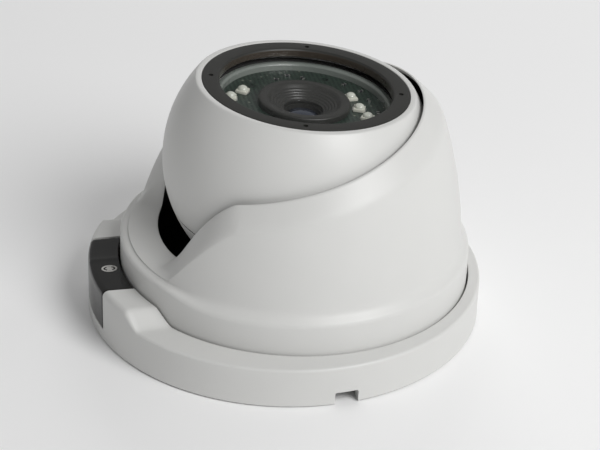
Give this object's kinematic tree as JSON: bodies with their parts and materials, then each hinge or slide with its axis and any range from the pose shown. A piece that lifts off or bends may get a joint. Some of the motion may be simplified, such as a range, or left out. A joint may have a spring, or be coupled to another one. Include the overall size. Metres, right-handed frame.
{
  "type": "dome surveillance camera",
  "caption": "Turret-style dome surveillance camera: a ball-shaped camera head that tilts and spins in a panning shroud on a round ceiling base.",
  "frame": {"origin": "centre of the round base's underside, on the mounting plane", "axes": "+Z away from the mounting plane, towards the window; -Y is the front, with the badge insert and the dip in the shroud's rim"},
  "size_m": [0.122, 0.122, 0.0763],
  "materials": {
    "white_coat": "fine powder coat, semi-matt warm white",
    "black_gloss": "polished black plastic",
    "mark_grey": "printed light grey mark",
    "gasket_rubber": "black rubber",
    "slip_nylon": "natural nylon",
    "zinc_steel": "zinc plated",
    "black_nylon": "moulded black nylon",
    "black_bezel": "satin black",
    "window_clear": "clear, coated",
    "sleeve_grey": "grey green moulded",
    "solder_mask": "very dark green solder mask",
    "led_ceramic": "milky white ceramic",
    "led_silicone": "clear silicone dome",
    "coated_lens": "coated optical glass",
    "filter_tint": "infrared cut coating",
    "carrier_grey": "grey moulded",
    "sensor_die": "sensor cover glass over silicon",
    "chip_epoxy": "black epoxy",
    "connector_nylon": "natural nylon",
    "brass_spacer": "turned brass"
  },
  "bodies": {
    "root": {"pedestal": "white_coat", "badge_insert": "black_gloss", "badge_emblem": "mark_grey", "base_gasket": "gasket_rubber", "pan_slip_washer": "slip_nylon", "retaining_ring": "zinc_steel", "retaining_screws": "zinc_steel", "pan_lock_screw": "zinc_steel"},
    "pan_shroud": {"pan_carrier": "black_nylon", "shroud": "white_coat", "shroud_screws": "zinc_steel", "shroud_mount_ring": "black_nylon"},
    "tilt_cradle": {"cradle": "black_nylon", "tilt_pins": "zinc_steel", "glide_pads": "slip_nylon"},
    "camera_ball": {"ball_front_housing": "white_coat", "ball_rear_housing": "white_coat", "ball_seal": "gasket_rubber", "housing_screws": "zinc_steel", "front_bezel": "black_bezel", "window_glass": "window_clear", "window_gasket": "gasket_rubber", "spacer_sleeve": "sleeve_grey", "ir_board": "solder_mask", "ir_led_packages": "led_ceramic", "ir_led_lenses": "led_silicone", "light_sensor": "window_clear", "lens_baffle": "black_bezel", "lens_front_glass": "coated_lens", "lens_barrel": "black_bezel", "lens_lock_ring": "black_bezel", "lens_holder": "black_nylon", "filter_housing": "black_nylon", "sensor_board": "solder_mask", "image_sensor": "sensor_die", "module_bracket": "zinc_steel", "bracket_screws": "zinc_steel", "ir_board_spacers": "brass_spacer", "board_standoffs": "brass_spacer", "board_screws": "zinc_steel", "main_board": "solder_mask", "board_chips": "chip_epoxy", "board_connectors": "connector_nylon", "cable_gland": "black_nylon", "gland_nut": "zinc_steel"},
    "filter_slider": {"filter_carrier": "carrier_grey", "ir_cut_filter": "filter_tint", "clear_filter": "window_clear"}
  },
  "joints": [
    {"name": "pan", "type": "hinge", "parent": "root", "child": "pan_shroud", "pos_m": [0, 0.003, 0.0044], "axis": [0, 0, 1], "range_deg": [-177.5, 177.5]},
    {"name": "tilt", "type": "hinge", "parent": "pan_shroud", "child": "tilt_cradle", "pos_m": [0, 0.003, 0.0488], "axis": [1, 0, 0], "range_deg": [-2, 75]},
    {"name": "spin", "type": "hinge", "parent": "tilt_cradle", "child": "camera_ball", "pos_m": [0, 0.003, 0.0488], "axis": [0, 0.0767, 0.9971], "range_deg": [-177.5, 177.5]},
    {"name": "filter_slide", "type": "slide", "parent": "camera_ball", "child": "filter_slider", "axis": [1, 0, 0], "range_m": [0, 0.0055]}
  ]
}
